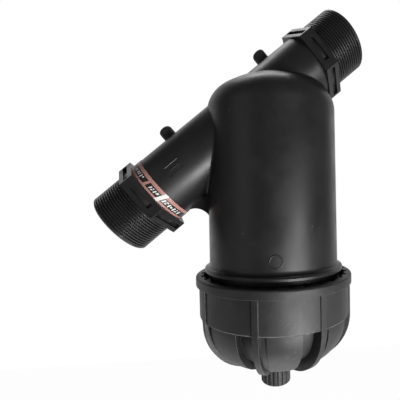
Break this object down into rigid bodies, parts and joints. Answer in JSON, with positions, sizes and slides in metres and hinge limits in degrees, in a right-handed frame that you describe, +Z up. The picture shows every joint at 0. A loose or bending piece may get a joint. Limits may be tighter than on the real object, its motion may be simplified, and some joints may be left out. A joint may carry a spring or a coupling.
{
  "type": "irrigation disc filter",
  "caption": "Y-type irrigation disc filter: domed upright body on an inclined threaded through-pipe, ribbed screw-on bowl, drain plug and removable disc element.",
  "frame": {"origin": "on the inlet port's axis, at the shoulder of the hex band where the inlet thread starts", "axes": "+Z up along the body's axis, +X level from the inlet towards the outlet"},
  "size_m": [0.2414, 0.1448, 0.3457],
  "materials": {
    "housing_plastic": "satin moulded black",
    "bowl_plastic": "slightly greyed moulded black",
    "label_film": "printed film",
    "rubber": "matt",
    "spine_plastic": "moulded black",
    "disc_plastic": "moulded red, finely grooved",
    "cap_plastic": "glossy black"
  },
  "bodies": {
    "housing": {"housing": "housing_plastic", "inlet_label": "label_film"},
    "inlet_cap": {"inlet_test_cap": "rubber"},
    "outlet_cap": {"outlet_test_cap": "rubber"},
    "element": {"element_spine": "spine_plastic", "element_seal": "rubber"},
    "discs": {"disc_stack": "disc_plastic"},
    "cap": {"element_cap": "cap_plastic"},
    "gasket": {"bowl_gasket": "rubber"},
    "bowl": {"bowl": "bowl_plastic"},
    "washer": {"drain_washer": "rubber"},
    "plug": {"drain_plug": "bowl_plastic"}
  },
  "joints": [
    {"name": "inlet_cap_pull", "type": "slide", "parent": "housing", "child": "inlet_cap", "axis": [-0.6361, 0, 0.7716], "range_m": [0, 0.012]},
    {"name": "outlet_cap_pull", "type": "slide", "parent": "housing", "child": "outlet_cap", "axis": [-0.6361, 0, 0.7716], "range_m": [0, 0.012]},
    {"name": "bowl_drop", "type": "slide", "parent": "housing", "child": "element", "axis": [0, 0, -1], "range_m": [0, 0.2]},
    {"name": "stack_loosen", "type": "slide", "parent": "element", "child": "discs", "axis": [0, 0, -1], "range_m": [0, 0.006]},
    {"name": "cap_turn", "type": "hinge", "parent": "discs", "child": "cap", "pos_m": [0.11536, 0, -0.119], "axis": [0, 0, -1], "range_deg": [0, 720]},
    {"name": "bowl_advance", "type": "slide", "parent": "element", "child": "gasket", "axis": [0, 0, -1], "range_m": [0, 0.012]},
    {"name": "bowl_turn", "type": "hinge", "parent": "gasket", "child": "bowl", "pos_m": [0.11536, 0, -0.095], "axis": [0, 0, -1], "range_deg": [0, 720]},
    {"name": "drain_advance", "type": "slide", "parent": "bowl", "child": "washer", "axis": [0, 0, -1], "range_m": [0, 0.0073]},
    {"name": "drain_turn", "type": "hinge", "parent": "washer", "child": "plug", "pos_m": [0.11536, 0, -0.165], "axis": [0, 0, -1], "range_deg": [0, 1440]}
  ],
  "couplings": [
    {"joint": "stack_loosen", "follows": "cap_turn", "m_per_rad": 0.00047746},
    {"joint": "bowl_advance", "follows": "bowl_turn", "m_per_rad": 0.00095492},
    {"joint": "drain_advance", "follows": "drain_turn", "m_per_rad": 0.0002887}
  ]
}
